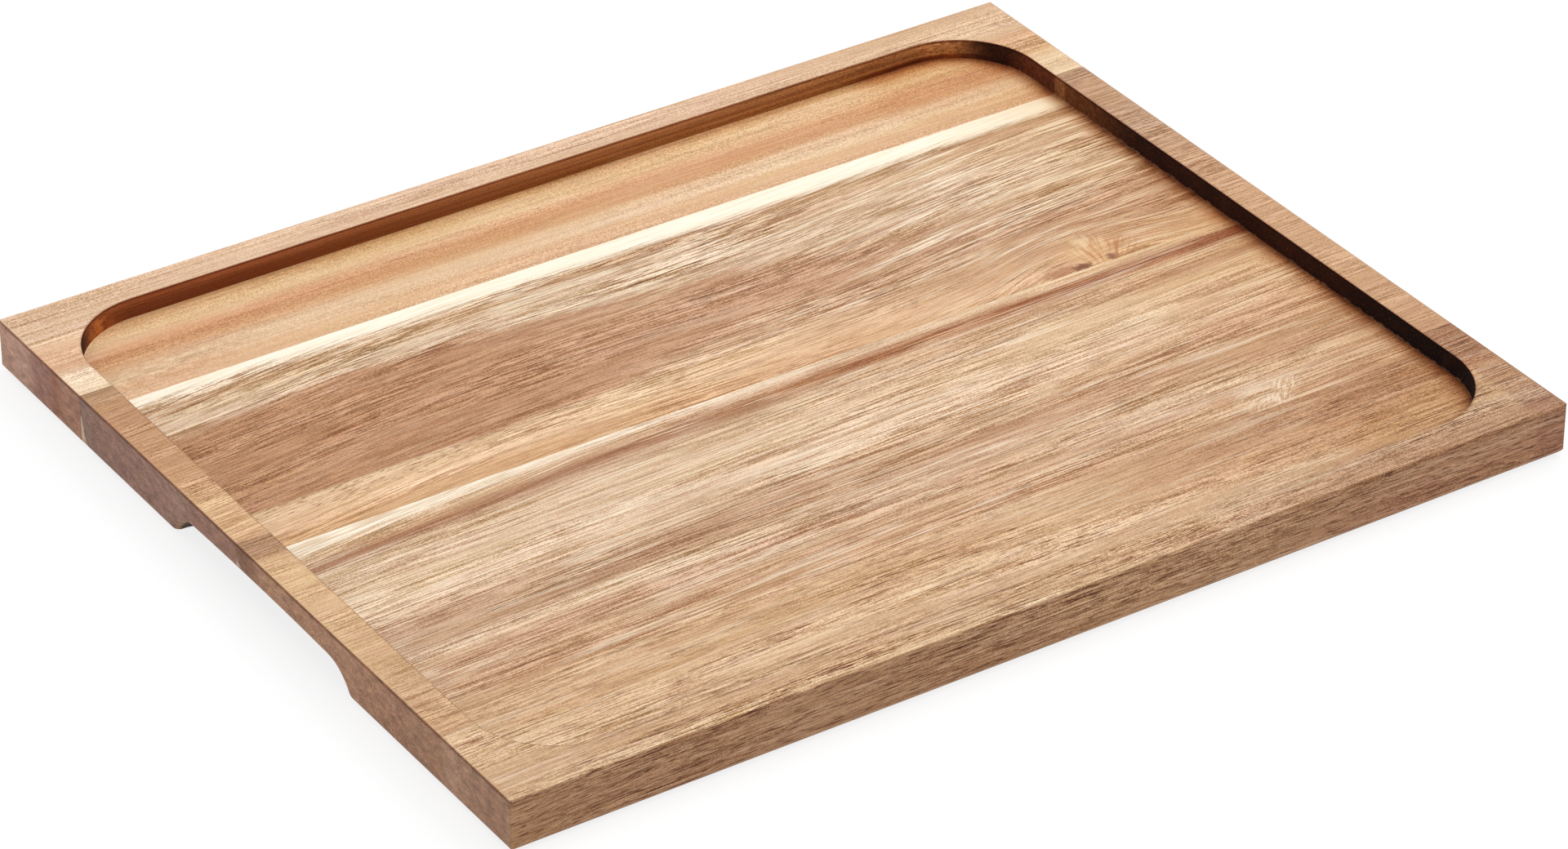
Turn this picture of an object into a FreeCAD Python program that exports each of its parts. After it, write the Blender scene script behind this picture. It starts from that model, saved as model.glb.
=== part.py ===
"""Serving tray routed from a board of four edge-glued acacia staves.

The grain and the three glue lines run along X. The tray stands on its underside
at z = 0, with its origin under the middle of the board and its front at -Y.
"""
import FreeCAD, Part
import math
import os

# Driving dimensions, in millimetres
LENGTH = 325.0              # along the grain, from end to end
STAVE_BACK_WIDTH = 46.5     # the four staves, across the grain
STAVE_MID_BACK_WIDTH = 84.5
STAVE_MID_FRONT_WIDTH = 85.0
STAVE_FRONT_WIDTH = 49.0
THICKNESS = 16.0
CORNER_RADIUS = 0.8         # the four upright corners, only sanded
BOTTOM_ROUND = 3.0          # roundover all round the underside
TOP_EASE = 0.5              # sanded arris all round the top
RIM_WIDTH = 10.0            # flat rim left between the recess and the outside
RECESS_DEPTH = 6.2
RECESS_CORNER_RADIUS = 25.0
RECESS_EASE = 0.3           # sanded arris where the rim meets the recess wall
FLOOR_FILLET = 0.4          # left by the cutter where the wall meets the floor
GRIP_LENGTH = 93.6          # finger grip along the end, between its upright ends
GRIP_HEIGHT = 7.8           # how far the grip rises up the end face, at its middle
GRIP_ARCH = 0.5             # how much lower its top is beside the end rounds
GRIP_END_RADIUS = 12.0      # the round at each end of the grip
GRIP_DEPTH = 10.5           # how far the grip reaches in under the rim
GRIP_COVE_RADIUS = 7.0      # hollow that the fingers curl into
GRIP_OFFSET = -9.3          # middle of the grips from the middle of the board
GRIP_EASE = 2.2             # roundover round the mouth of each grip

# What follows from them
WIDTH = STAVE_BACK_WIDTH + STAVE_MID_BACK_WIDTH + STAVE_MID_FRONT_WIDTH + STAVE_FRONT_WIDTH
UP = FreeCAD.Vector(0, 0, 1)
TOUCH = 0.001               # two things this close are taken to touch
STAVES = [
    ("stave_back", STAVE_BACK_WIDTH),
    ("stave_mid_back", STAVE_MID_BACK_WIDTH),
    ("stave_mid_front", STAVE_MID_FRONT_WIDTH),
    ("stave_front", STAVE_FRONT_WIDTH),
]


def edge_profile(span):
    """Section through the board: a large round on each lower edge, a small one above.

    It is drawn in the XZ plane, centred on x = 0.
    """
    half = span / 2
    shoulder = half - BOTTOM_ROUND
    brow = half - TOP_EASE
    top = THICKNESS - TOP_EASE
    diagonal = math.sqrt(0.5)

    def point(x, z):
        return FreeCAD.Vector(x, 0, z)

    edges = [
        Part.makeLine(point(-shoulder, 0), point(shoulder, 0)),
        Part.makeLine(point(-brow, THICKNESS), point(brow, THICKNESS)),
    ]
    for side in (-1, 1):
        low_bend = point(side * (shoulder + BOTTOM_ROUND * diagonal), BOTTOM_ROUND * (1 - diagonal))
        top_bend = point(side * (brow + TOP_EASE * diagonal), top + TOP_EASE * diagonal)
        low_side = point(side * half, BOTTOM_ROUND)
        top_side = point(side * half, top)
        edges.append(Part.Arc(point(side * shoulder, 0), low_bend, low_side).toShape())
        edges.append(Part.makeLine(low_side, top_side))
        edges.append(Part.Arc(top_side, top_bend, point(side * brow, THICKNESS)).toShape())
    return Part.Face(Part.Wire(Part.__sortEdges__(edges)))


def rounded_block(length, width, height, radius):
    """A block centred on the origin in X and Y, with rounded upright corners."""
    block = Part.makeBox(length, width, height, FreeCAD.Vector(-length / 2, -width / 2, 0))
    upright = [edge for edge in block.Edges if edge.BoundBox.ZLength > height / 2]
    return block.makeFillet(radius, upright)


def board():
    """The glued board, thicknessed, cut to size and rounded on its edges."""
    blank = rounded_block(LENGTH, WIDTH, THICKNESS, CORNER_RADIUS)
    seen_from_front = edge_profile(LENGTH)
    seen_from_front.translate(FreeCAD.Vector(0, -WIDTH / 2, 0))
    seen_from_end = edge_profile(WIDTH)
    seen_from_end.rotate(FreeCAD.Vector(0, 0, 0), UP, 90)
    seen_from_end.translate(FreeCAD.Vector(-LENGTH / 2, 0, 0))
    blank = blank.common(seen_from_front.extrude(FreeCAD.Vector(0, WIDTH, 0)))
    return blank.common(seen_from_end.extrude(FreeCAD.Vector(LENGTH, 0, 0)))


def recess():
    """What the router takes out of the top: a pocket with round corners and a flat floor."""
    length = LENGTH - 2 * RIM_WIDTH
    width = WIDTH - 2 * RIM_WIDTH
    pocket = rounded_block(length, width, THICKNESS, RECESS_CORNER_RADIUS)
    floor_edges = [edge for edge in pocket.Edges if edge.BoundBox.ZMax < THICKNESS / 2]
    pocket = pocket.makeFillet(FLOOR_FILLET, floor_edges)
    pocket.translate(FreeCAD.Vector(0, 0, THICKNESS - RECESS_DEPTH))
    return pocket


def grip_outline():
    """The grip as the end face shows it: a low arch with a round at each end.

    It is drawn in the YZ plane, centred on y = 0, and runs on below the underside.
    """
    half = GRIP_LENGTH / 2 - GRIP_END_RADIUS
    shoulder = GRIP_HEIGHT - GRIP_ARCH
    arch_radius = (half ** 2 + GRIP_ARCH ** 2) / (2 * GRIP_ARCH)
    lean = math.asin(half / arch_radius)
    bisector = (lean + math.pi / 2) / 2
    centre_y = half - GRIP_END_RADIUS * math.sin(lean)
    centre_z = shoulder - GRIP_END_RADIUS * math.cos(lean)
    low = min(centre_z, 0) - GRIP_EASE

    def point(y, z):
        return FreeCAD.Vector(0, y, z)

    edges = [Part.Arc(point(-half, shoulder), point(0, GRIP_HEIGHT), point(half, shoulder)).toShape()]
    for side in (-1, 1):
        bend_y = side * (centre_y + GRIP_END_RADIUS * math.sin(bisector))
        bend_z = centre_z + GRIP_END_RADIUS * math.cos(bisector)
        foot_y = side * (centre_y + GRIP_END_RADIUS)
        round_end = Part.Arc(point(side * half, shoulder), point(bend_y, bend_z), point(foot_y, centre_z))
        edges.append(round_end.toShape())
        edges.append(Part.makeLine(point(foot_y, centre_z), point(foot_y, low)))
        edges.append(Part.makeLine(point(foot_y, low), point(0, low)))
    return Part.Face(Part.Wire(Part.__sortEdges__(edges)))


def grips():
    """What the cutter takes from the two ends: the outline sunk in, with a hollowed back."""
    outline = grip_outline()
    outline.translate(FreeCAD.Vector(-LENGTH / 2 - GRIP_EASE, GRIP_OFFSET, 0))
    left = outline.extrude(FreeCAD.Vector(GRIP_DEPTH + GRIP_EASE, 0, 0))
    back = left.BoundBox.XMax
    hollow = [
        edge for edge in left.Edges
        if edge.BoundBox.XMin > back - TOUCH and edge.BoundBox.ZMax > left.BoundBox.ZMin + TOUCH
    ]
    left = left.makeFillet(GRIP_COVE_RADIUS, hollow)
    return [left, left.mirror(FreeCAD.Vector(0, 0, 0), FreeCAD.Vector(1, 0, 0))]


def cut_and_ease(shape, cutters, radius):
    """Cut the shape, and round the edges that the cutters leave in its old skin."""
    cut = shape.cut(cutters)
    mouth = []
    for edge in cut.Edges:
        middle = Part.Vertex(edge.valueAt((edge.FirstParameter + edge.LastParameter) / 2))
        on_cutter = min(cutter.Shells[0].distToShape(middle)[0] for cutter in cutters) < TOUCH
        on_old_skin = shape.Shells[0].distToShape(middle)[0] < TOUCH
        if on_cutter and on_old_skin:
            mouth.append(edge)
    return cut.makeFillet(radius, mouth)


def tray():
    """The whole tray in one solid, before it is parted at the glue lines."""
    shape = cut_and_ease(board(), [recess()], RECESS_EASE)
    return cut_and_ease(shape, grips(), GRIP_EASE)


def staves(whole):
    """The tray parted at its glue lines, from the back stave to the front one."""
    back = WIDTH / 2
    for name, width in STAVES:
        corner = FreeCAD.Vector(-LENGTH / 2, back - width, 0)
        yield name, whole.common(Part.makeBox(LENGTH, width, THICKNESS, corner))
        back -= width


os.makedirs("parts", exist_ok=True)
for name, stave in staves(tray()):
    stave.Solids[0].exportStep("parts/" + name + ".step")
    print(name, "solids", len(stave.Solids), "valid", stave.isValid(), "volume", round(stave.Volume))
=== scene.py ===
"""Looks of the wooden serving tray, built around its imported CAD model, in metres."""

import bpy
from mathutils import Matrix, Vector

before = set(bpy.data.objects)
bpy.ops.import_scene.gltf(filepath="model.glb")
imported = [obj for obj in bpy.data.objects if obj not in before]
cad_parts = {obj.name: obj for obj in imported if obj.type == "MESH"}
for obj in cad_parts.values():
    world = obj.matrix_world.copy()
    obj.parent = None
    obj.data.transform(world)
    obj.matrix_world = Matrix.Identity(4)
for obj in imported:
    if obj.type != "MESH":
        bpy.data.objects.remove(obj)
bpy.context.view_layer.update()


# The stave at the back
# Oiled acacia from near the sapwood, golden with a reddish band, its back edge left as the back
# rim. It is glued edge to edge to the next stave, and the recess is routed through both.

MM = 0.001                  # one millimetre in metres; what follows is in millimetres
HALF_LENGTH = 162.5
HALF_WIDTH = 132.5
TOP = 16.0
RIM = 10.0                  # width of the rim
WALL = HALF_LENGTH - RIM    # the recess's short walls, from the middle of the tray
CORNER = 25.0               # radius of the recess's corners
RECESS_FLOOR = 9.8          # above the table
GRIP_FRONT = -57.0          # the finger grips, along the ends
GRIP_REAR = 38.0
GRIP_TOP = 9.0
GRIP_WALL = 152.0           # how far in they reach, from the middle of the tray
STAVE_GAP = 300.0           # between the staves' places in the noise, so that no two are alike
MASK_GAP = 40.0             # and between the masks of one stave
SMOOTH = {"interpolation_type": "SMOOTHSTEP"}       # a change that starts and ends gently


def linear(colour):
    """An sRGB hex colour as the linear RGBA that the nodes take."""
    parts = [int(colour[i:i + 2], 16) / 255 for i in (1, 3, 5)]
    return tuple(c / 12.92 if c <= 0.04045 else ((c + 0.055) / 1.055) ** 2.4 for c in parts) + (1.0,)


def add(tree, kind, *inputs, stops=(), **settings):
    """Add a node with its settings; the inputs are values, nodes or sockets in their order.

    The stops of a colour ramp are pairs of a position and a hex colour.
    """
    node = tree.nodes.new("ShaderNode" + kind)
    for name, value in settings.items():
        setattr(node, name, value)
    for socket, value in zip([s for s in node.inputs if s.enabled], inputs):
        if isinstance(value, bpy.types.Node):
            value = next(s for s in value.outputs if s.enabled)
        if isinstance(value, bpy.types.NodeSocket):
            tree.links.new(value, socket)
        elif isinstance(value, str):
            socket.default_value = linear(value)
        elif value is not None:
            socket.default_value = value
    for i, (position, colour) in enumerate(stops):
        stop = node.color_ramp.elements[i] if i < 2 else node.color_ramp.elements.new(position)
        stop.position = position
        stop.color = linear(colour)
    return node


def begin_board(name, seed, wander):
    """Start a stave's wood: its place in mm, and y with the slow wander of its growth rings."""
    material = bpy.data.materials.new(name)
    material.use_nodes = True
    tree = material.node_tree
    tree.nodes.clear()
    place = add(tree, "TexCoord")
    mm = add(tree, "VectorMath", place.outputs["Object"], (1 / MM,) * 3, operation="MULTIPLY")
    x, y, z = add(tree, "SeparateXYZ", mm).outputs
    apart = add(tree, "VectorMath", mm, (0, 0, STAVE_GAP * seed), operation="ADD")
    ring = y
    for length, width, share in ((34, 6, 0.35), (130, 30, 1.6)):
        scaled = add(tree, "Mapping", apart, None, None, (1 / length, 1 / width, 1 / width))
        drift = add(tree, "Math", add(tree, "TexNoise", scaled, 1, 1, 0.5), 0.5, operation="SUBTRACT")
        ring = add(tree, "Math", drift, share * wander, ring, operation="MULTIPLY_ADD")
    return {
        "material": material, "tree": tree, "seed": seed,
        "mm": mm, "x": x, "y": y, "z": z, "ring": ring,
    }


def streaks(board, across, length, width, low, high, detail=1.0, shift=0.0, rough=0.55, along=None):
    """A mask of streaks along the grain, of about this length and width in mm.

    low and high are where the noise starts to show and where it is full. Streaks that do not
    follow the grain run along a direction of their own.
    """
    tree = board["tree"]
    gap = STAVE_GAP * board["seed"] + MASK_GAP * shift
    up = add(tree, "Math", board["z"], gap, operation="ADD")
    grain = add(tree, "CombineXYZ", along or board["x"], across, up)
    scaled = add(tree, "Mapping", grain, None, None, (1 / length, 1 / width, 1 / width))
    noise = add(tree, "TexNoise", scaled, 1, detail, rough)
    return add(tree, "MapRange", noise, low, high, **SMOOTH)


def bands(board, across, stops):
    """Colour across the board: pairs of a place in mm, from front to back, and a colour."""
    tree = board["tree"]
    first, last = stops[0][0], stops[-1][0]
    share = add(tree, "MapRange", across, first, last)
    places = [((place - first) / (last - first), colour) for place, colour in stops]
    return add(tree, "ValToRGB", share, stops=places)


def paint(board, colour, mask, tint, strength=1.0, blend="MIX"):
    """Lay a colour over the wood where the mask is, at this strength."""
    tree = board["tree"]
    share = add(tree, "Math", mask, strength, operation="MULTIPLY")
    return add(tree, "Mix", share, colour, tint, data_type="RGBA", blend_type=blend)


def overlap(board, mask, *others):
    """The mask where all of these masks are."""
    for other in others:
        mask = add(board["tree"], "Math", mask, other, operation="MULTIPLY")
    return mask


def between(board, value, low, high, soft):
    """A mask that is 1 from low to high and fades over soft at both."""
    tree = board["tree"]
    start = add(tree, "MapRange", value, low - soft / 2, low + soft / 2, **SMOOTH)
    end = add(tree, "MapRange", value, high + soft / 2, high - soft / 2, **SMOOTH)
    return overlap(board, start, end)


def change(board, value, low, high, first, last):
    """A colour that changes from the first to the last as the value goes from low to high."""
    tree = board["tree"]
    share = add(tree, "MapRange", value, low, high, **SMOOTH)
    return add(tree, "Mix", share, first, last, data_type="RGBA")


def by_height(board, floor_wood, rim_wood):
    """The wood of the recess floor below, and the wood of the rim above and on the ends."""
    tree = board["tree"]
    height = add(tree, "MapRange", board["z"], RECESS_FLOOR + 0.7, TOP - 0.5)
    from_middle = add(tree, "Math", board["x"], operation="ABSOLUTE")
    at_end = add(tree, "MapRange", from_middle, WALL + 0.5, WALL + 2.5, **SMOOTH)
    share = add(tree, "Math", height, at_end, operation="MAXIMUM")
    return paint(board, floor_wood, share, rim_wood)


def fibres(board, colour, across, length, wide, streak, line, hair, grit, depth, pore, sheen_strength):
    """Draw the fibres on the wood, each kind at its own strength, without changing its mean colour.

    length stretches them all, depth says where they are stronger, pore is the strength of the
    vessels and sheen_strength that of the painted sheen. Acacia's vessels are 0.2 mm wide, and are
    drawn about 0.4 mm wide so that they show. The cut opens them to short dark dashes. Where fibres
    rise to the surface they shine like silk, and that shine is painted into the colour as cream
    streaks.
    """
    tree = board["tree"]
    kinds = (                       # length and width in mm, softness, strength, detail
        (380, 6.0, 0.18, wide, 1),
        (150, 2.2, 0.14, streak, 1),
        (70, 0.8, 0.10, line, 2),
        (30, 0.4, 0.06, hair, 2),
    )
    shade = -(wide + streak + line + hair) / 2
    for shift, (span, width, soft, strength, detail) in enumerate(kinds, 1):
        mask = streaks(board, across, span * length, width, 0.5 - soft, 0.5 + soft, detail, shift)
        shade = add(tree, "Math", mask, strength, shade, operation="MULTIPLY_ADD")
    # The sanded surface is grainy, in specks of half a millimetre.
    specks = add(tree, "TexNoise", board["mm"], 2.1, 2, 0.65)
    specks = add(tree, "MapRange", specks, 0.35, 0.65, -0.5, 0.5)
    shade = add(tree, "Math", specks, grit, shade, operation="MULTIPLY_ADD")
    # The fibres are weaker on the end faces, and stronger in some places than in others.
    from_middle = add(tree, "Math", board["x"], operation="ABSOLUTE")
    along_grain = add(tree, "MapRange", from_middle, HALF_LENGTH - 0.7, HALF_LENGTH - 1.3, **SMOOTH)
    lively = streaks(board, across, 160 * length, 9, 0.35, 0.65, 1, 20)
    depth = overlap(
        board, depth,
        add(tree, "MapRange", along_grain, 0, 1, 0.45, 1.0),
        add(tree, "MapRange", lively, 0, 1, 0.55, 1.4),
    )
    shade = add(tree, "Math", overlap(board, shade, depth), operation="TANH")
    # A dark fibre is browner than a pale one, so blue changes most and red least. Between golden
    # and pinkish wood blue changes most.
    tone = add(tree, "VectorMath", shade, (-0.55, -0.73, -0.93), (1, 1, 1), operation="MULTIPLY_ADD")
    hue = streaks(board, across, 120 * length, 6, 0.36, 0.64, 3, 10, 0.7)
    hue = add(tree, "MapRange", hue, 0, 1, -0.5, 0.5)
    tone = add(tree, "VectorMath", hue, (-0.01, 0.01, -0.05), tone, operation="MULTIPLY_ADD")
    colour = paint(board, colour, 1.0, tone, 1.0, "MULTIPLY")
    # Painted sheen: pale cream streaks where the fibres shine like silk.
    sheen_patch = streaks(board, across, 45, 5, 0.44, 0.60, 1, 5)
    painted_sheen = streaks(board, across, 34, 0.6, 0.50, 0.58, 2, 6)
    painted_sheen = overlap(board, sheen_patch, painted_sheen, along_grain)
    colour = paint(board, colour, painted_sheen, "#fbead0", sheen_strength)
    dark_lines = streaks(board, across, 60 * length, 0.42, 0.58, 0.66, 1, 7)
    colour = paint(board, colour, overlap(board, dark_lines, depth), "#96694a", pore, "MULTIPLY")
    pores = streaks(board, across, 12 * length, 0.36, 0.60, 0.68, 1, 8)
    colour = paint(board, colour, overlap(board, pores, depth), "#8c6142", pore, "MULTIPLY")
    return colour, pores


def finish_board(board, colour, pores, end_tint, face_tint, tar, scorch="#a87c62"):
    """Give the wood its end grain, its routed walls and its oil.

    tar is the colour of the short recess walls and scorch tints all of the walls.
    """
    tree = board["tree"]
    x, y, z = board["x"], board["y"], board["z"]
    geometry = add(tree, "NewGeometry")
    facing = add(tree, "SeparateXYZ", geometry.outputs["Normal"])
    from_middle_x = add(tree, "Math", x, operation="ABSOLUTE")
    from_middle_y = add(tree, "Math", y, operation="ABSOLUTE")
    sideways = add(tree, "Math", facing.outputs["X"], operation="ABSOLUTE")
    end = add(tree, "MapRange", sideways, 0.45, 0.85, **SMOOTH)
    # End grain drinks the oil unevenly. It comes out darker, more purple and mottled in patches of
    # about 3 mm, and is darkest on its arris.
    colour = paint(board, colour, end, end_tint, 1.0, "MULTIPLY")
    mottle = add(tree, "Mapping", board["mm"], None, None, (0.3, 0.28, 0.6))
    mottle = add(tree, "TexNoise", mottle, 1, 5, 0.7)
    mottle = add(tree, "MapRange", mottle, 0.3, 0.7, 0.62, 1.38)
    colour = paint(board, colour, end, mottle, 1.0, "MULTIPLY")
    tipped = overlap(
        board,
        add(tree, "MapRange", facing.outputs["Z"], 0.995, 0.9, **SMOOTH),
        add(tree, "MapRange", z, TOP - 0.8, TOP - 0.6, **SMOOTH),
    )
    brim = add(tree, "MapRange", from_middle_x, HALF_LENGTH - 0.9, HALF_LENGTH - 0.6, **SMOOTH)
    colour = paint(board, colour, overlap(board, tipped, brim), "#8f6248", 0.6, "MULTIPLY")
    # The long faces are cut along the rings, and are darker than the top.
    across_face = add(tree, "Math", facing.outputs["Y"], operation="ABSOLUTE")
    across_face = add(tree, "MapRange", across_face, 0.45, 0.85, **SMOOTH)
    outside = add(tree, "Math", from_middle_y, HALF_WIDTH - 2.5, operation="GREATER_THAN")
    colour = paint(board, colour, overlap(board, across_face, outside), face_tint, 1.0, "MULTIPLY")
    # Painted shade darkens the hollows of the finger grips: their back walls and their roofs.
    low = overlap(
        board,
        add(tree, "MapRange", z, GRIP_TOP, GRIP_TOP - 0.5, **SMOOTH),
        add(tree, "MapRange", from_middle_x, HALF_LENGTH - 1.3, HALF_LENGTH - 2.7, **SMOOTH),
    )
    painted_grip_shade = overlap(
        board, low,
        add(tree, "MapRange", from_middle_x, GRIP_WALL - 0.5, GRIP_WALL, **SMOOTH),
        add(tree, "MapRange", facing.outputs["Z"], -0.97, -0.9, **SMOOTH),
    )
    shaded_grip_roof = overlap(board, low, add(tree, "MapRange", z, 5, 6, **SMOOTH))
    painted_grip_shade = add(tree, "Math", painted_grip_shade, shaded_grip_roof, operation="MAXIMUM")
    painted_grip_shade = overlap(board, painted_grip_shade, between(board, y, GRIP_FRONT, GRIP_REAR, 1))
    colour = paint(board, colour, painted_grip_shade, "#4a3024", 0.9, "MULTIPLY")
    # past_wall is how far a place lies outside the recess's outline, and below 0 inside it.
    past_x = add(tree, "Math", from_middle_x, WALL - CORNER, operation="SUBTRACT")
    past_x = add(tree, "Math", past_x, 0, operation="MAXIMUM")
    past_y = add(tree, "Math", from_middle_y, HALF_WIDTH - RIM - CORNER, operation="SUBTRACT")
    past_y = add(tree, "Math", past_y, 0, operation="MAXIMUM")
    past_wall = add(tree, "VectorMath", add(tree, "CombineXYZ", past_x, past_y), operation="LENGTH")
    past_wall = add(tree, "Math", past_wall, CORNER, operation="SUBTRACT")
    inside = overlap(
        board,
        add(tree, "MapRange", past_wall, 4.6, 4.4, **SMOOTH),
        add(tree, "MapRange", z, RECESS_FLOOR - 1, RECESS_FLOOR - 0.5, **SMOOTH),
    )
    on_floor = overlap(board, inside, add(tree, "MapRange", z, 12, 11, **SMOOTH))
    # The router scorches the recess walls, most of all where it crosses the grain. The floor gets
    # darker towards the right wall, and at the wall's foot in a warm dark band that is partly scorch
    # and partly painted shadow of the wall.
    smoke = add(tree, "TexNoise", board["mm"], 0.06, 3, 0.6)
    reach = add(tree, "Math", smoke, 5.0, past_wall, operation="MULTIPLY_ADD")
    at_right = overlap(board, on_floor, add(tree, "MapRange", x, 100, 118, **SMOOTH))
    darker_near_right_wall = overlap(board, add(tree, "MapRange", past_wall, -42, -3), at_right)
    colour = paint(board, colour, darker_near_right_wall, "#f4e8d7", 1.0, "MULTIPLY")
    # Painted shadow of the right wall, mixed with scorch: a warm band that is darkest at the wall's
    # foot.
    warm_scorch_and_shade = overlap(board, add(tree, "MapRange", reach, -5, 3.5, **SMOOTH), at_right)
    colour = paint(board, colour, warm_scorch_and_shade, "#cf9560", 0.9, "MULTIPLY")
    scorch_and_shadow = overlap(
        board,
        add(tree, "MapRange", reach, 0.3, 3.5, **SMOOTH), at_right,
        add(tree, "MapRange", y, -110, 100, 1.0, 0.6),
    )
    colour = paint(board, colour, scorch_and_shadow, "#74402a", 1.0, "MULTIPLY")
    # A thin dark line of painted shade runs along the recess's arris, where its rounded edge turns
    # away.
    painted_arris_shade = overlap(
        board,
        between(board, past_wall, -0.1, 0.55, 0.3),
        add(tree, "MapRange", z, TOP - 1, TOP - 0.5, **SMOOTH),
        add(tree, "MapRange", smoke, 0.35, 0.6, 0.2, 0.8),
    )
    colour = paint(board, colour, painted_arris_shade, "#a1734f", 0.4, "MULTIPLY")
    wall = overlap(board, inside, add(tree, "MapRange", facing.outputs["Z"], 0.85, 0.4, **SMOOTH))
    colour = paint(board, colour, wall, scorch, 1.0, "MULTIPLY")
    scorched = overlap(board, wall, end)
    colour = paint(board, colour, scorched, tar, 0.97)
    sooty = overlap(board, scorched, add(tree, "MapRange", smoke, 0.5, 0.64, **SMOOTH))
    colour = paint(board, colour, sooty, "#54301a", 0.2)
    charred = streaks(board, y, 600, 1.4, 0.32, 0.66, 4, 9, 0.7)
    colour = paint(board, colour, overlap(board, wall, charred), "#a08678", 0.8, "MULTIPLY")
    # Brown dust stays in the scorched pores, and paler dust along the foot of the right wall.
    dust = add(tree, "TexNoise", board["mm"], 1.6, 2, 0.6)
    dust = add(tree, "MapRange", dust, 0.60, 0.72, **SMOOTH)
    colour = paint(board, colour, overlap(board, scorched, dust), "#7d5030", 0.45)
    crumbs = add(tree, "TexNoise", board["mm"], 0.35, 3, 0.7)
    foot = overlap(
        board,
        between(board, z, RECESS_FLOOR + 0.15, RECESS_FLOOR + 0.5, 0.2),
        add(tree, "MapRange", crumbs, 0.5, 0.62, **SMOOTH), on_floor,
        add(tree, "MapRange", x, WALL - 2.5, WALL - 1.5, **SMOOTH),
    )
    colour = paint(board, colour, foot, "#b08560", 0.35)
    # Painted shade on the recess's rounded top edge, which turns away from the light.
    colour = paint(board, colour, overlap(board, tipped, inside), "#a87a58", 0.7, "MULTIPLY")
    # Oil rubbed into sanded wood dries as a thin satin skin that sinks into the pores: the wood
    # looks wet and deep but hardly shines, and where it is scorched it is matt.
    bump = add(tree, "Bump", 0.4, 0.1 * MM, None, pores, invert=True)
    matt = add(tree, "MapRange", scorched, 0, 1, 0.55, 0.9)
    wood = add(tree, "BsdfPrincipled", colour, 0.0, matt, 1.5, 1.0, bump)
    wood.inputs["Specular IOR Level"].default_value = 0.15
    add(tree, "OutputMaterial", wood)
    return board["material"]


def dress(node, material):
    """Put the material in every slot of a CAD node."""
    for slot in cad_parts[node].material_slots:
        slot.material = material


back = begin_board("acacia_golden_oiled", 1, 1.4)
tree = back["tree"]
x = back["x"]
y = back["y"]
z = back["z"]
ring = back["ring"]
floor_wood = bands(back, ring, [
    (86, "#d6ad87"), (92, "#dab28a"), (96, "#ddbc99"), (100, "#d9b48f"), (103, "#ce9d72"),
    (108, "#ca946b"), (111, "#d5a67d"), (114, "#deb98e"), (117, "#dcb78a"), (120, "#cfa271"),
    (123, "#ba8c5c"), (132.5, "#d0ab81"),
])
rim_wood = bands(back, ring, [
    (86, "#e4c8a7"), (97, "#e7c9a8"), (101, "#d7ad87"), (112, "#d7ad8a"), (117, "#ddbc9d"),
    (132.5, "#d7b394"),
])
to_right = add(tree, "MapRange", x, 40, 120, **SMOOTH)
rim_wood = paint(back, rim_wood, to_right, "#f5f2ea", 1.0, "MULTIPLY")
wood = by_height(back, floor_wood, rim_wood)
# A painted highlight: the left rim by the recess is paler, where it catches the light.
painted_rim_highlight = overlap(back, add(tree, "MapRange", x, -148, -156, **SMOOTH), between(back, y, 88, 98, 5))
wood = paint(back, wood, painted_rim_highlight, "#f8e6ca", 0.3)
depth = add(tree, "MapRange", z, 11, 15, 0.85, 2.1)
grit = add(tree, "MapRange", z, 11, 15, 0.8, 0.4)
wood, pores = fibres(
    back, wood, ring, length=0.8, wide=0.12, streak=0.16, line=0.12, hair=0.16,
    grit=grit, depth=depth, pore=0.14, sheen_strength=0.14,
)
# Near the left end the fibres interlock, and show as fine ripples across the grain.
ripples = add(tree, "TexWave", back["mm"], 0.5, 3, 2, 0.5, 0.5, wave_type="BANDS", bands_direction="X")
ripples = overlap(
    back, ripples,
    streaks(back, y, 4, 1.8, 0.35, 0.60, 2, 13),
    between(back, x, -160, -110, 40),
    between(back, y, 90, 101, 6),
)
wood = paint(back, wood, ripples, "#b78b61", 0.6, "MULTIPLY")
wall = change(back, x, -130, 110, "#cb8b67", "#fcd8aa")
wall = paint(back, wall, add(tree, "MapRange", x, -128, -146, **SMOOTH), "#f4b16f")
tar = change(back, y, 99, 109, "#6c3820", "#2c1207")
end_tint = bands(back, y, [
    (86, "#bb9993"), (100, "#bfa09a"), (103, "#c1adbb"), (112, "#c2afbf"), (115, "#e0cfd7"),
    (130, "#e0cfd7"),
])
dress("stave_back", finish_board(back, wood, pores, end_tint, "#d9c2b9", tar, wall))


# The stave behind the middle
# Oiled acacia, glued in between two others, with the boundary of sapwood and heartwood in it: a
# cream sapwood edge at the glue line, brown heartwood in a long tongue, figure round it that shines
# like silk, its shine painted in as pale streaks, and a knot near the right end.

BACK_JOINT = 86.0           # where this stave meets the back one


def spot(board, middle, reach, ragged=0.4):
    """An oval mask round a place, with a ragged edge, all in mm."""
    tree = board["tree"]
    away = add(tree, "VectorMath", board["mm"], (-middle[0], -middle[1], 0), operation="ADD")
    away = add(tree, "VectorMath", away, (1 / reach[0], 1 / reach[1], 0), operation="MULTIPLY")
    away = add(tree, "VectorMath", away, operation="LENGTH")
    rough = add(tree, "TexNoise", board["mm"], 0.6, 2, 0.6)
    away = add(tree, "Math", rough, ragged, away, operation="MULTIPLY_ADD")
    return add(tree, "MapRange", away, 1.15 + ragged / 2, 0.35 + ragged / 2, **SMOOTH)


mid_back = begin_board("acacia_heartwood_oiled", 2, 2.0)
tree = mid_back["tree"]
x = mid_back["x"]
y = mid_back["y"]
z = mid_back["z"]
ring = mid_back["ring"]
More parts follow.
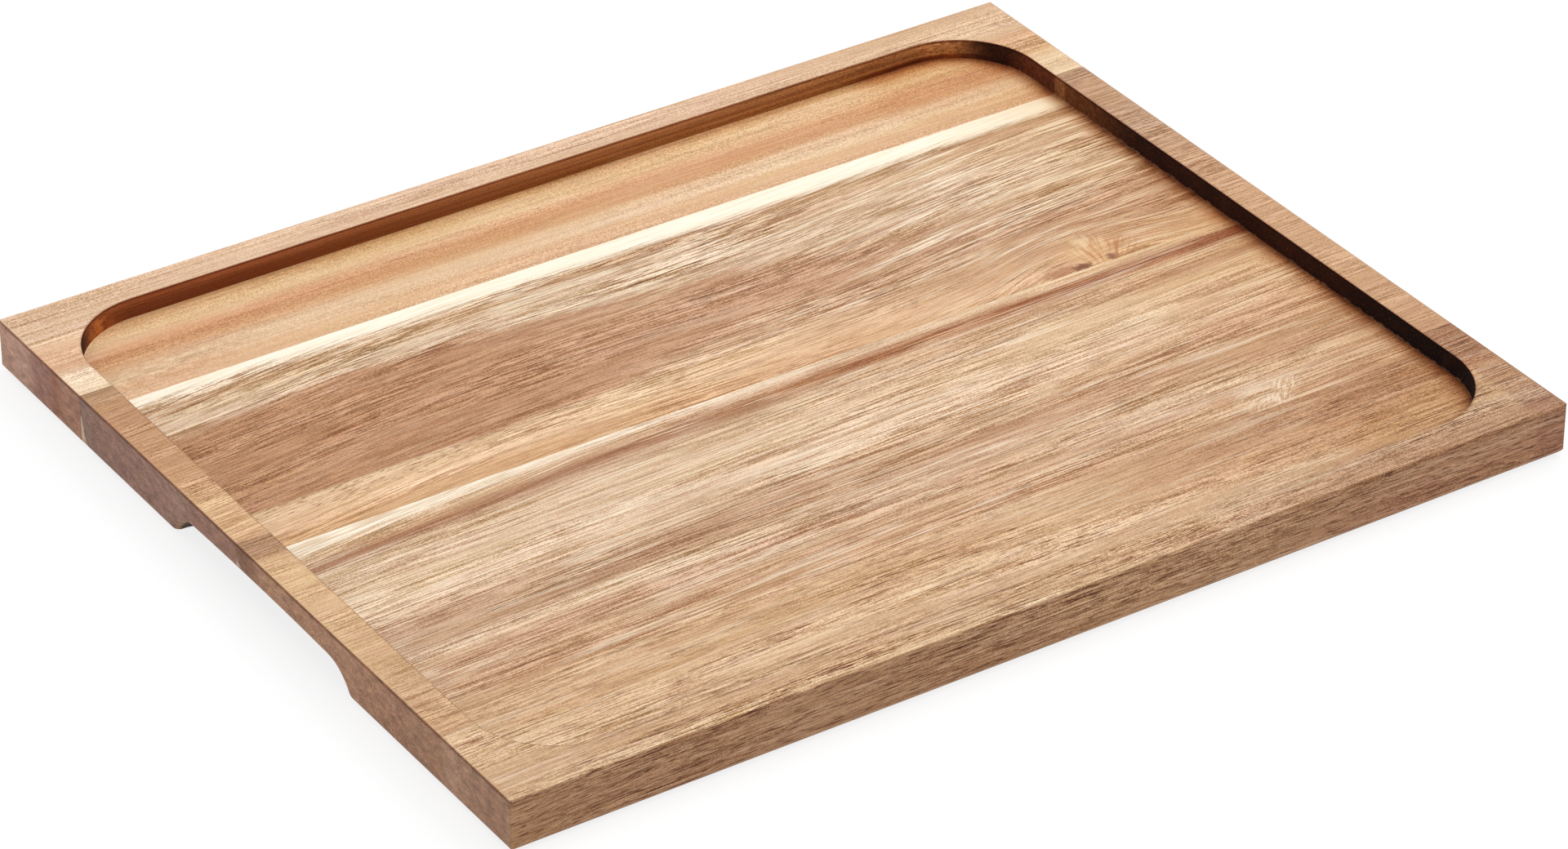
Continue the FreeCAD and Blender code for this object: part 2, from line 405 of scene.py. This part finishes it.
# The fibres run up to the right, level off in the middle, rise again, and part round the knot.
turn = add(tree, "Math", x, 1 / 32, 120 / 32, operation="MULTIPLY_ADD")
turn = add(tree, "Math", turn, operation="SINE")
across = add(tree, "Math", x, -0.045, ring, operation="MULTIPLY_ADD")
across = add(tree, "Math", turn, -1.8, across, operation="MULTIPLY_ADD")
parting = spot(mid_back, (108, 2), (34, 24), 0.0)
across = add(tree, "Math", parting, -5.0, across, operation="MULTIPLY_ADD")
left_floor = bands(mid_back, ring, [
    (0, "#cca177"), (5, "#cda077"), (10, "#dcb690"), (18, "#dbb993"), (20.5, "#c8a382"),
    (45, "#c8a686"), (60, "#d2b697"), (66, "#d4b799"), (72, "#caaa89"), (77, "#c49e7b"),
    (80, "#e2c9ad"), (86, "#eedec6"),
])
right_floor = bands(mid_back, ring, [
    (0, "#cda47b"), (6, "#d4ad88"), (12, "#c89f7a"), (20, "#c09875"), (32, "#bf9878"),
    (44, "#c9a888"), (54, "#ceb092"), (72, "#cdaa88"), (77, "#ba936f"), (80.5, "#eddbc2"),
    (86, "#f3e5cd"),
])
rim_left = bands(mid_back, ring, [
    (0, "#b48d6a"), (3, "#d0a980"), (20, "#d2ab82"), (40, "#bf936e"), (78, "#b88c68"),
    (83, "#b38e6c"), (86, "#a37f5f"),
])
rim_right = bands(mid_back, ring, [
    (0, "#c49a77"), (25, "#be9675"), (50, "#b59174"), (76, "#bd9675"), (83, "#a68165"),
    (86, "#c6a381"),
])
floor_wood = paint(mid_back, left_floor, add(tree, "MapRange", x, -20, 90, **SMOOTH), right_floor)
rim_wood = change(mid_back, x, -40, 40, rim_left, rim_right)
# The tongue of heartwood narrows to the right, and its lower edge is sharp.
off = add(tree, "Math", across, -42, operation="ADD")
ragged = streaks(mid_back, across, 30, 2.6, 0.25, 0.75, 4, 7)
squared = add(tree, "Math", off, off, operation="MULTIPLY")
spread = add(tree, "Math", squared, 0.24, x, operation="MULTIPLY_ADD")
reach = add(tree, "Math", ragged, 80, spread, operation="MULTIPLY_ADD")
heart = overlap(
    mid_back,
    add(tree, "MapRange", reach, 150, 70, **SMOOTH),
    add(tree, "MapRange", ring, 19.0, 20.4, **SMOOTH),
)
floor_wood = paint(mid_back, floor_wood, heart, change(mid_back, x, -90, 10, "#b28360", "#bb9070"))
tip = overlap(mid_back, heart, add(tree, "MapRange", x, -147, -152, **SMOOTH))
floor_wood = paint(mid_back, floor_wood, tip, "#c5966f", 0.6)
wood = by_height(mid_back, floor_wood, rim_wood)
# The heartwood and the golden band below it are calmer than the wood round them, with less painted
# sheen.
gold = overlap(
    mid_back,
    add(tree, "MapRange", ring, 22, 17, **SMOOTH),
    add(tree, "MapRange", x, 40, 100, 1.0, 0.4),
)
calm = add(tree, "Math", heart, gold, operation="MAXIMUM")
sheen_share = add(tree, "MapRange", calm, 0, 1, 0.6, 0.12)
sheen_share = overlap(mid_back, sheen_share, add(tree, "MapRange", x, -150, -90, 0.5, 1.0))
right_sheen = add(tree, "MapRange", x, 30, 70, **SMOOTH)
right_sheen = overlap(mid_back, right_sheen, between(mid_back, y, 35, 76, 10))
sheen_share = add(tree, "Math", right_sheen, 0.3, sheen_share, operation="MULTIPLY_ADD")
sheen_share = overlap(mid_back, sheen_share, add(tree, "MapRange", z, 14, 11, **SMOOTH))
depth = overlap(
    mid_back,
    add(tree, "Mix", heart, add(tree, "MapRange", x, -150, -30, 0.7, 1.0), 0.66),
    add(tree, "MapRange", gold, 0, 1, 1.0, 0.6),
    add(tree, "MapRange", x, 10, 80, 1.0, 0.64),
    add(tree, "MapRange", x, -154, -150, 0.75, 1.0),
)
grit = add(tree, "MapRange", x, -154, -150, 1.4, 1.15)
grit = add(tree, "Math", gold, -0.1, grit, operation="MULTIPLY_ADD")
grit = add(tree, "Math", heart, 0.4, grit, operation="MULTIPLY_ADD")
wood, pores = fibres(
    mid_back, wood, across, length=0.42, wide=0.16, streak=0.24, line=0.46, hair=1.65,
    grit=grit, depth=depth, pore=0.60, sheen_strength=sheen_share,
)
# In the golden band by the boundary the vessels show as short dark dashes.
dashes = overlap(
    mid_back,
    streaks(mid_back, across, 3.0, 0.6, 0.56, 0.64, 1, 14),
    between(mid_back, ring, 12.5, 20, 2),
    add(tree, "MapRange", x, -154, -152, **SMOOTH),
    add(tree, "MapRange", x, -100, -40, 1.0, 0.15),
)
wood = paint(mid_back, wood, dashes, "#96613e", 0.55, "MULTIPLY")
# The knot was cut through at the glue line: a golden fan with dark embers in it, and at its foot
# a reddish spot and two dark ones.
knot_x = add(tree, "Math", x, -107, operation="ADD")
knot_y = add(tree, "Math", y, 9, operation="ADD")
bearing = add(tree, "Math", knot_y, knot_x, operation="ARCTAN2")
bearing = add(tree, "Math", bearing, 12, operation="MULTIPLY")
wood = paint(mid_back, wood, spot(mid_back, (109, 8), (12, 8)), "#d6a878", 0.55)
fan = streaks(mid_back, bearing, 9, 0.9, 0.42, 0.60, 2, 15, 0.6, y)
fan = overlap(mid_back, fan, spot(mid_back, (110, 12), (8, 6)))
wood = paint(mid_back, wood, fan, "#f4dab2", 0.55)
embers = streaks(mid_back, bearing, 14, 0.7, 0.50, 0.62, 2, 16, 0.6, y)
embers = overlap(mid_back, embers, spot(mid_back, (114, 7), (12, 8)))
wood = paint(mid_back, wood, embers, "#b27447", 0.7)
wood = paint(mid_back, wood, spot(mid_back, (97, 3.4), (9, 2.8), 1.0), "#a8714d", 0.75)
wood = paint(mid_back, wood, spot(mid_back, (103, 2.8), (3.6, 1.9), 1.2), "#774832", 0.9)
wood = paint(mid_back, wood, spot(mid_back, (113.3, 3.2), (2.2, 2.0), 1.2), "#85523a", 0.85)
# Sapwood fills the corner by the glue line. Its edge leans, so it is gone before the rim, and it
# is feathered, and torn on the end face.
left_width = add(tree, "MapRange", x, -163, -151, 0.0, 3.4)
swell = overlap(
    mid_back,
    between(mid_back, x, -100, 80, 60),
    add(tree, "MapRange", x, -100, 80, 0.8, 1.8),
)
more = add(tree, "Math", add(tree, "MapRange", x, -151, 150, 0.0, 3.2), swell, operation="ADD")
width = add(tree, "Math", left_width, more, operation="ADD")
over_floor = add(tree, "Math", z, RECESS_FLOOR, operation="SUBTRACT")
up_lean = add(tree, "Math", over_floor, 0, operation="MAXIMUM")
down_lean = add(tree, "Math", over_floor, 0, operation="MINIMUM")
width = add(tree, "Math", up_lean, -1.4, width, operation="MULTIPLY_ADD")
width = add(tree, "Math", down_lean, -0.33, width, operation="MULTIPLY_ADD")
feather = streaks(mid_back, across, 20, 0.8, 0.2, 0.8, 3, 9, 0.6)
torn = add(tree, "MapRange", x, -161, -157, 1.0, 4.0)
from_joint = add(tree, "Math", BACK_JOINT, y, operation="SUBTRACT")
from_joint = add(tree, "Math", feather, torn, from_joint, operation="MULTIPLY_ADD")
past_sap = add(tree, "Math", from_joint, width, operation="SUBTRACT")
sap = add(tree, "MapRange", past_sap, add(tree, "MapRange", x, -161, -157, 0.9, 3.8), 0.4, **SMOOTH)
shade = streaks(mid_back, across, 20, 0.8, 0.35, 0.7, 3, 12)
cream = paint(mid_back, "#fdf4e2", shade, "#efdcbc", 0.6)
wood = paint(mid_back, wood, sap, cream, 0.97)
tar = change(mid_back, y, 44, 76, "#2e1004", "#7d4b27")
tar = paint(mid_back, tar, add(tree, "MapRange", y, 80.4, 81.4, **SMOOTH), "#a36d42")
end_tint = change(mid_back, y, 22, 34, "#c1b2c5", "#d7d5f5")
end_tint = paint(mid_back, end_tint, sap, "#dccbb8")
dress("stave_mid_back", finish_board(mid_back, wood, pores, end_tint, "#ffffff", tar))


# The stave in front of the middle
# Oiled acacia, glued in between two others, tan and straight in the grain, with a thin sapwood
# edge along the glue line, a reddish streak beside it and a broad brown one further forward.

MIDDLE_JOINT = 1.5          # where this stave meets the one behind it

mid_front = begin_board("acacia_tan_oiled", 3, 1.8)
tree = mid_front["tree"]
x = mid_front["x"]
y = mid_front["y"]
z = mid_front["z"]
# The reddish streak by the glue line bends away from it at the left end.
bend = overlap(
    mid_front,
    add(tree, "MapRange", x, -150, -65, 5.5, 0.0),
    add(tree, "MapRange", y, -22, -8, **SMOOTH),
)
ring = add(tree, "Math", mid_front["ring"], bend, operation="ADD")
across = add(tree, "Math", x, -0.025, ring, operation="MULTIPLY_ADD")
left_floor = bands(mid_front, ring, [
    (-84, "#c29875"), (-72, "#c6a180"), (-66, "#c39b7b"), (-60, "#d1b191"), (-54, "#b28b6b"),
    (-44, "#c49f80"), (-36, "#dbbd9e"), (-14, "#ceae8d"), (-10.2, "#bf9b7c"), (-8.6, "#af8466"),
    (-6.6, "#a07151"), (-3.6, "#c9a27f"), (1, "#ddc0a1"),
])
right_floor = bands(mid_front, ring, [
    (-84, "#c19875"), (-72, "#c9a585"), (-66, "#cba888"), (-61, "#bb9371"), (-44, "#c59d7b"),
    (-36, "#d3b190"), (-18, "#d4b18c"), (-14, "#bf9674"), (-9, "#cca681"), (-6.5, "#a87552"),
    (-4, "#945838"), (-1.5, "#c39a75"), (1, "#d0aa80"),
])
rim_left = bands(mid_front, ring, [
    (-84, "#c49e7a"), (-60, "#d0ab84"), (-5, "#d3ae85"), (-2, "#bd9772"), (1, "#a88263"),
])
rim_right = bands(mid_front, ring, [
    (-84, "#ba906d"), (-40, "#c39b77"), (-5, "#c39a77"), (1, "#c39a77"),
])
floor_wood = change(mid_front, x, -60, 120, left_floor, right_floor)
rim_wood = change(mid_front, x, -40, 40, rim_left, rim_right)
wood = by_height(mid_front, floor_wood, rim_wood)
sheen_share = overlap(mid_front, add(tree, "MapRange", z, 14, 11, **SMOOTH), 0.45)
depth = overlap(
    mid_front,
    add(tree, "MapRange", x, 20, 120, 1.0, 0.75),
    add(tree, "MapRange", y, -45, -32, 1.05, 0.9),
    add(tree, "MapRange", x, -145, -100, 0.85, 1.0),
    add(tree, "MapRange", z, 11, 15, 1.0, 0.7),
    add(tree, "MapRange", x, -154, -150, 1.15, 1.0),
)
grit = add(tree, "MapRange", x, -20, 100, 0.95, 1.2)
wood, pores = fibres(
    mid_front, wood, across, length=0.62, wide=0.11, streak=0.15, line=0.36, hair=1.05,
    grit=grit, depth=depth, pore=0.40, sheen_strength=sheen_share,
)
# The reddish streak runs on to the right, closer to the glue line, with a paler one below it.
course = add(tree, "Math", x, -0.02, y, operation="MULTIPLY_ADD")
course = add(tree, "Math", course, 5.6, operation="ADD")
run = between(mid_front, x, -10, 115, 50)
reddish = overlap(mid_front, run, between(mid_front, course, -1.3, 1.4, 1.4))
wood = paint(mid_front, wood, reddish, "#f0dcc7", 1.0, "MULTIPLY")
paler = overlap(mid_front, run, between(mid_front, course, -4.4, -2.4, 1.2))
wood = paint(mid_front, wood, paler, "#f2dcc2", 0.12)
# A small knot lies under the next glue line: arcs round it, and a pale arm up to the right.
around = add(tree, "VectorMath", mid_front["mm"], (-104, 84, 0), operation="ADD")
around = add(tree, "VectorMath", around, (0.8, 1, 0), operation="MULTIPLY")
around = add(tree, "VectorMath", around, operation="LENGTH")
arcs = streaks(mid_front, around, 900, 0.9, 0.42, 0.60, 1, 14)
arcs = overlap(mid_front, arcs, spot(mid_front, (103, -79), (9, 9)))
wood = paint(mid_front, wood, arcs, "#f7e6cb", 0.35)
wood = paint(mid_front, wood, spot(mid_front, (93, -75), (4.5, 3.5)), "#c29470", 0.45)
up_arm = add(tree, "Math", add(tree, "Math", x, y, operation="ADD"), 0.7, operation="MULTIPLY")
off_arm = add(tree, "Math", y, x, operation="SUBTRACT")
off_arm = add(tree, "Math", off_arm, 0.7, operation="MULTIPLY")
plume = streaks(mid_front, off_arm, 5, 0.7, 0.44, 0.56, 2, 15, 0.6, up_arm)
arm = spot(mid_front, (107, -80.5), (5.5, 3.2), 0.8)
arm = add(tree, "Math", arm, spot(mid_front, (113, -75.5), (5.5, 4), 0.8), operation="MAXIMUM")
wood = paint(mid_front, wood, overlap(mid_front, plume, arm), "#f8e6cc", 0.6)
flecks = streaks(mid_front, off_arm, 2.5, 0.8, 0.56, 0.66, 1, 16, 0.6, up_arm)
flecks = overlap(mid_front, flecks, spot(mid_front, (111.5, -78), (7, 6)))
wood = paint(mid_front, wood, flecks, "#a86f4a", 0.5)
# The sapwood edge is widest at the left, fades to the right, and is nearly gone on the rims.
width = add(tree, "MapRange", x, -70, 130, 1.6, 0.9)
width = add(tree, "Math", width, add(tree, "MapRange", x, -150, -70, 3.6, 0.0), operation="ADD")
width = overlap(mid_front, width, add(tree, "MapRange", x, -158, -152, 0.25, 1.0))
over_floor = add(tree, "Math", z, RECESS_FLOOR, operation="SUBTRACT")
tilt = add(tree, "Math", over_floor, operation="ABSOLUTE")
width = add(tree, "Math", tilt, -1.0, width, operation="MULTIPLY_ADD")
feather = streaks(mid_front, across, 22, 0.7, 0.2, 0.8, 3, 9, 0.6)
from_joint = add(tree, "Math", MIDDLE_JOINT, y, operation="SUBTRACT")
from_joint = add(tree, "Math", feather, 3.6, from_joint, operation="MULTIPLY_ADD")
past_sap = add(tree, "Math", from_joint, width, operation="SUBTRACT")
sap = add(tree, "MapRange", past_sap, 4.2, 0.0, **SMOOTH)
sap = overlap(mid_front, sap, add(tree, "MapRange", x, -120, 40, 1.0, 0.3))
lines = streaks(mid_front, across, 18, 0.45, 0.46, 0.58, 2, 12)
cream = paint(mid_front, "#fbf0dc", lines, "#cfae88", 0.75)
wood = paint(mid_front, wood, sap, cream)
tar = change(mid_front, y, -80, -30, "#120300", "#2f0e03")
dress("stave_mid_front", finish_board(mid_front, wood, pores, "#dccacf", "#ffffff", tar))


# The stave at the front
# Oiled acacia, tan brown, glued to the stave behind it, with the front rim and the front long face
# on it. The face shows the vessels as dark dashes.

front = begin_board("acacia_brown_oiled", 4, 1.8)
tree = front["tree"]
x = front["x"]
y = front["y"]
z = front["z"]
ring = front["ring"]
across = add(tree, "Math", x, -0.01, ring, operation="MULTIPLY_ADD")
left_wood = bands(front, ring, [
    (-133, "#d8ba94"), (-129, "#c39d7a"), (-120, "#c9a481"), (-114, "#cda985"), (-104, "#d9b692"),
    (-98, "#c8a17a"), (-83, "#cba580"),
])
right_wood = bands(front, ring, [
    (-133, "#ba9274"), (-124, "#b79273"), (-119, "#c4a17f"), (-104, "#c0946d"), (-96, "#b68b67"),
    (-90, "#b28764"), (-83, "#b58c6b"),
])
wood = change(front, x, 10, 120, left_wood, right_wood)
on_right_rim = add(tree, "MapRange", x, WALL - 1, WALL + 1, **SMOOTH)
wood = paint(front, wood, on_right_rim, "#ece3e6", 1.0, "MULTIPLY")
on_rim = overlap(
    front,
    add(tree, "MapRange", x, 40, 120, **SMOOTH),
    add(tree, "MapRange", z, 12, 15, **SMOOTH),
)
wood = paint(front, wood, on_rim, "#f3f0ea", 1.0, "MULTIPLY")
depth = overlap(
    front,
    add(tree, "MapRange", x, 10, 120, 1.0, 0.75),
    add(tree, "MapRange", z, 11, 15, 1.0, 1.3),
    add(tree, "MapRange", x, -150, -100, 0.7, 1.0),
    add(tree, "MapRange", on_rim, 0, 1, 1.0, 1.6),
)
grit = add(tree, "MapRange", x, -20, 100, 0.75, 1.15)
wood, pores = fibres(
    front, wood, across, length=0.42, wide=0.09, streak=0.12, line=0.28, hair=0.64,
    grit=grit, depth=depth, pore=0.60, sheen_strength=0.25,
)
# The long face is cut along the rings: they arch in the middle, and the dashes are about 7 mm long.
on_face = add(tree, "MapRange", y, 0.3 - HALF_WIDTH, 0.05 - HALF_WIDTH, **SMOOTH)
bow = add(tree, "Math", add(tree, "Math", x, 1 / 70, operation="MULTIPLY"), 2, operation="POWER")
arched = add(tree, "Math", bow, 2.2, z, operation="MULTIPLY_ADD")
slits = overlap(front, streaks(front, arched, 7, 0.5, 0.57, 0.64, 1, 17), on_face)
wood = paint(front, wood, slits, "#7d5137", 0.7, "MULTIPLY")
rings = overlap(front, streaks(front, arched, 90, 1.3, 0.40, 0.66, 2, 18), on_face)
wood = paint(front, wood, rings, "#b98c6c", 0.25, "MULTIPLY")
face = change(front, x, -60, 140, "#e4cfc5", "#fff4ea")
dress("stave_front", finish_board(front, wood, pores, "#d8cacf", face, "#0f0301"))


# The studio floor
# A sheet of plain white matt paper that the tray stands on. It keeps the tray's soft shadow, and
# is otherwise as white as the background.

SHEET_DROP = 0.0002         # in metres, so that it doesn't touch the tray
GLOW = 0.82                 # the share of its white that the shadow leaves alone


def seen_directly(tree):
    """1 as the camera sees it, also by way of gloss or glass, and 0 as it lights other things."""
    rays = add(tree, "LightPath")
    seen = add(
        tree, "Math", rays.outputs["Is Camera Ray"], rays.outputs["Is Glossy Ray"],
        operation="MAXIMUM",
    )
    return add(tree, "Math", seen, rays.outputs["Is Transmission Ray"], operation="MAXIMUM")


bpy.ops.mesh.primitive_plane_add(size=8, location=(0, 0, -SHEET_DROP))
floor = bpy.context.object
floor.name = "studio_floor"
paper = bpy.data.materials.new("white_paper")
paper.use_nodes = True
tree = paper.node_tree
tree.nodes.clear()
seen = seen_directly(tree)
tone = add(tree, "Mix", seen, "#e6e6e6", "#ffffff", data_type="RGBA")
sheet = add(tree, "BsdfDiffuse", tone)
glow = add(tree, "Emission", "#ffffff", 1.0)
share = add(tree, "Math", seen, GLOW, operation="MULTIPLY")
add(tree, "OutputMaterial", add(tree, "MixShader", share, sheet, glow))
floor.data.materials.append(paper)


# The light
# One large soft box to the right of the tray, a wide one overhead, and an even white room.


def soft_box(name, place, size, watts):
    """A square soft box at this place, in metres, that points at the tray."""
    lamp = bpy.data.lights.new(name, "AREA")
    lamp.shape = "SQUARE"
    lamp.size = size
    lamp.energy = watts
    box = bpy.data.objects.new(name, lamp)
    bpy.context.scene.collection.objects.link(box)
    box.location = place
    box.rotation_euler = (-Vector(place)).to_track_quat("-Z", "Y").to_euler()


soft_box("soft_box_right", (1.0, 0.1, 1.6), size=0.8, watts=11)
soft_box("soft_box_above", (0.0, -0.1, 1.9), size=1.8, watts=16)

world = bpy.data.worlds.new("white_room")
bpy.context.scene.world = world
world.use_nodes = True
tree = world.node_tree
tree.nodes.clear()
strength = add(tree, "Mix", seen_directly(tree), 0.55, 1.0)
room = add(tree, "Background", "#ffffff", strength)
add(tree, "OutputWorld", room)


# The camera
# It looks along the tray from the left front, from above, with a long lens.

RIGHT = Vector((0.835660, -0.549246, -0.000820))    # the picture's own axes
DOWN = Vector((-0.294315, -0.446528, -0.844980))
AHEAD = Vector((0.463736, 0.706358, -0.534797))
EYE = Vector((-0.775737, -1.186299, 0.893113))

lens = bpy.data.cameras.new("camera")
lens.sensor_width = 36
lens.lens = 144.046
camera = bpy.data.objects.new("camera", lens)
bpy.context.scene.collection.objects.link(camera)
turn = Matrix((RIGHT, -DOWN, -AHEAD)).transposed().to_4x4()
camera.matrix_world = Matrix.Translation(EYE) @ turn
bpy.context.scene.camera = camera
bpy.context.scene.view_settings.view_transform = "Standard"
